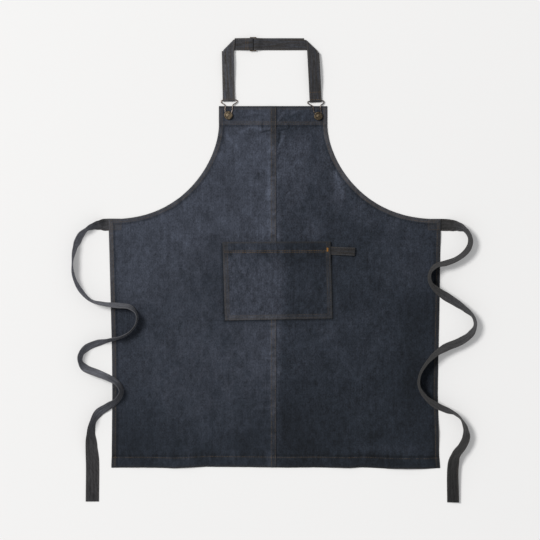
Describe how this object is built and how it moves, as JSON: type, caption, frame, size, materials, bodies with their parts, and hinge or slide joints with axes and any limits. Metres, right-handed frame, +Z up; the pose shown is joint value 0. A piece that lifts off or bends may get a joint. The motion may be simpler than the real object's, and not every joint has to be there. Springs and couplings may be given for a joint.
{
  "type": "denim bib apron",
  "caption": "Washed dark denim bib apron laid flat, with a lapped centre seam, patch pocket, towel tab, buckled neck strap with slider, tack buttons and looped waist ties.",
  "frame": {"origin": "on the floor side of the body, under the centre seam, at the middle of the length from strap top to tie ends", "axes": "+X across the apron to the right as seen from above, +Y from the lower hem to the neck strap, +Z up from the floor"},
  "size_m": [0.9895, 1.1392, 0.0328],
  "materials": {
    "denim_left": "washed slate denim with brown-gold topstitching",
    "denim_right": "washed slate denim, a shade darker",
    "denim_pocket": "washed slate denim with gold topstitching",
    "denim_strap": "folded and topstitched denim strap, worn at the edges",
    "antique_brass": "antique brass, dulled",
    "dark_bronze": "dark bronze, dulled"
  },
  "bodies": {
    "root": {"panel_left": "denim_left", "panel_right": "denim_right", "pocket": "denim_pocket", "towel_loop": "denim_strap", "neck_strap": "denim_strap", "strap_slider": "dark_bronze", "buckle_left": "antique_brass", "buckle_right": "antique_brass", "button_left": "antique_brass", "button_right": "antique_brass", "tie_left": "denim_strap", "tie_right": "denim_strap"}
  },
  "joints": []
}
